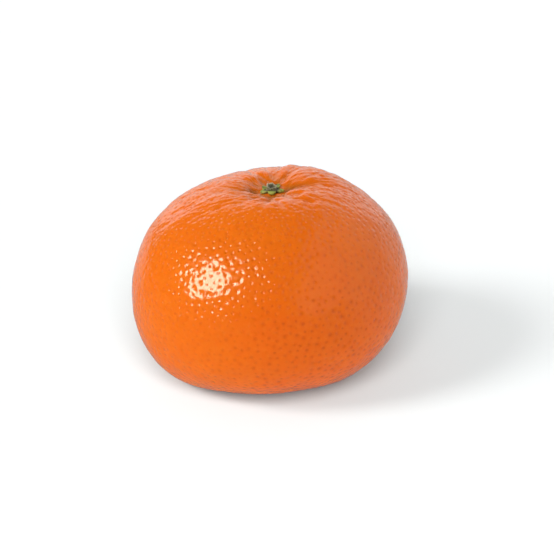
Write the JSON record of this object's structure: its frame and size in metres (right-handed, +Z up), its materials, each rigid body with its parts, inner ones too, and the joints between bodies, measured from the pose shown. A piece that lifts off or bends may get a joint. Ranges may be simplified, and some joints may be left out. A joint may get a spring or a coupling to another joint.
{
  "type": "mandarin",
  "caption": "Whole mandarin orange with its green calyx and cut stalk stub, resting on a small flat spot.",
  "frame": {"origin": "middle of the flat spot that the fruit rests on", "axes": "+Z up through the stem, +X to the right and +Y away from the viewer"},
  "size_m": [0.0627, 0.0623, 0.0462],
  "materials": {
    "peel": "waxy rind, pitted by oil glands",
    "calyx": "dull, dry green",
    "stalk_stub": "rough, broken wood"
  },
  "bodies": {
    "root": {"peel": "peel", "calyx": "calyx", "stalk_stub": "stalk_stub"}
  },
  "joints": []
}
